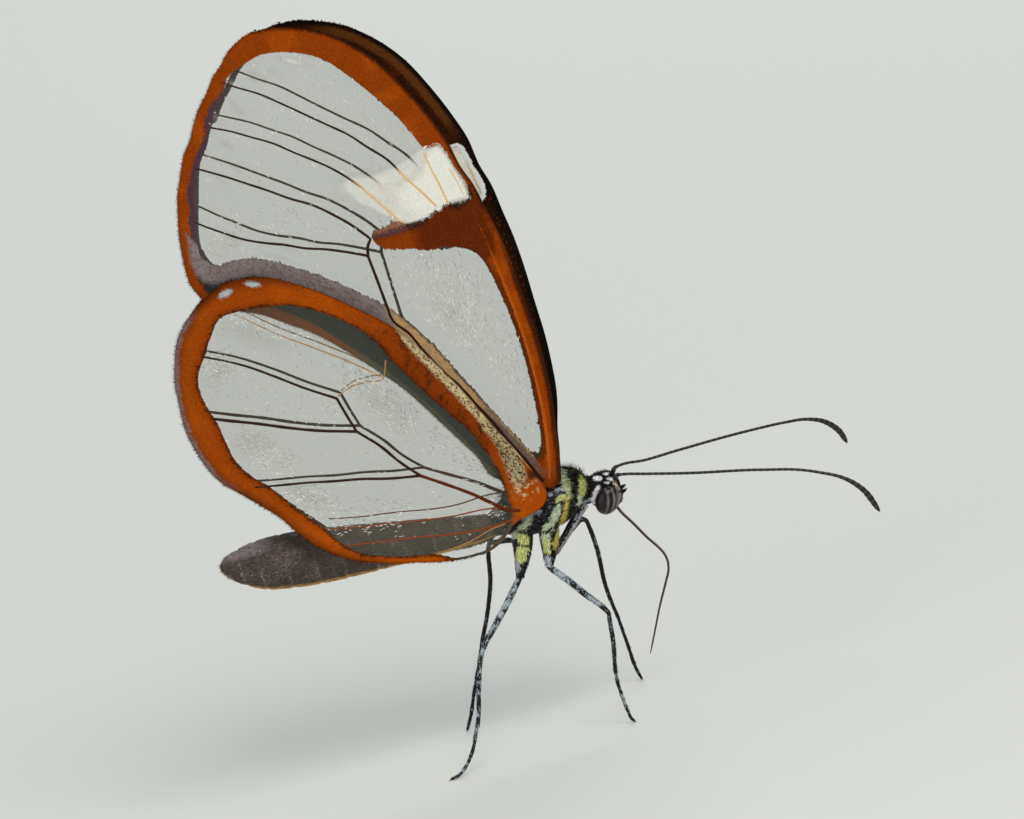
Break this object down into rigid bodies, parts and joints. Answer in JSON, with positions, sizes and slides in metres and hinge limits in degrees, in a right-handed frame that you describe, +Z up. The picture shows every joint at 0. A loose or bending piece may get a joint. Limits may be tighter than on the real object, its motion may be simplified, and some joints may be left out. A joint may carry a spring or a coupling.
{
  "type": "glasswing butterfly",
  "caption": "Life-size glasswing butterfly standing with its clear, orange-edged wings closed over its back, antennae forward and proboscis out.",
  "frame": {"origin": "centre of the butterfly's bounding box at floor level, where its feet rest", "axes": "+X the way the head faces, +Y the butterfly's left side, +Z up"},
  "size_m": [0.035, 0.0111, 0.0416],
  "materials": {
    "wing_membrane": "clear membrane with fine glinting hairs, burnt-orange scaled borders and dark veins",
    "wing_scales": "matte scales",
    "body_scales": "black scales with yellow-green stripes and white marks",
    "abdomen_scales": "grey-brown scales with thin pale rings",
    "pale_hair": "fine pale hair",
    "eye": "polished compound eye, banded dark and grey-brown",
    "leg_scales": "black with blue-white speckles",
    "horn": "dark horn, slightly glossy"
  },
  "bodies": {
    "root": {"head": "body_scales", "eye_right": "eye", "eye_left": "eye", "antenna_right": "horn", "antenna_left": "horn", "proboscis": "horn", "thorax": "body_scales", "abdomen": "abdomen_scales", "wing_fore_right": "wing_membrane", "wing_fore_left": "wing_membrane", "wing_hind_right": "wing_membrane", "wing_hind_left": "wing_membrane", "leg_fore_right": "leg_scales", "leg_fore_left": "leg_scales", "leg_mid_right": "leg_scales", "leg_mid_left": "leg_scales", "leg_hind_right": "leg_scales", "leg_hind_left": "leg_scales"}
  },
  "joints": []
}
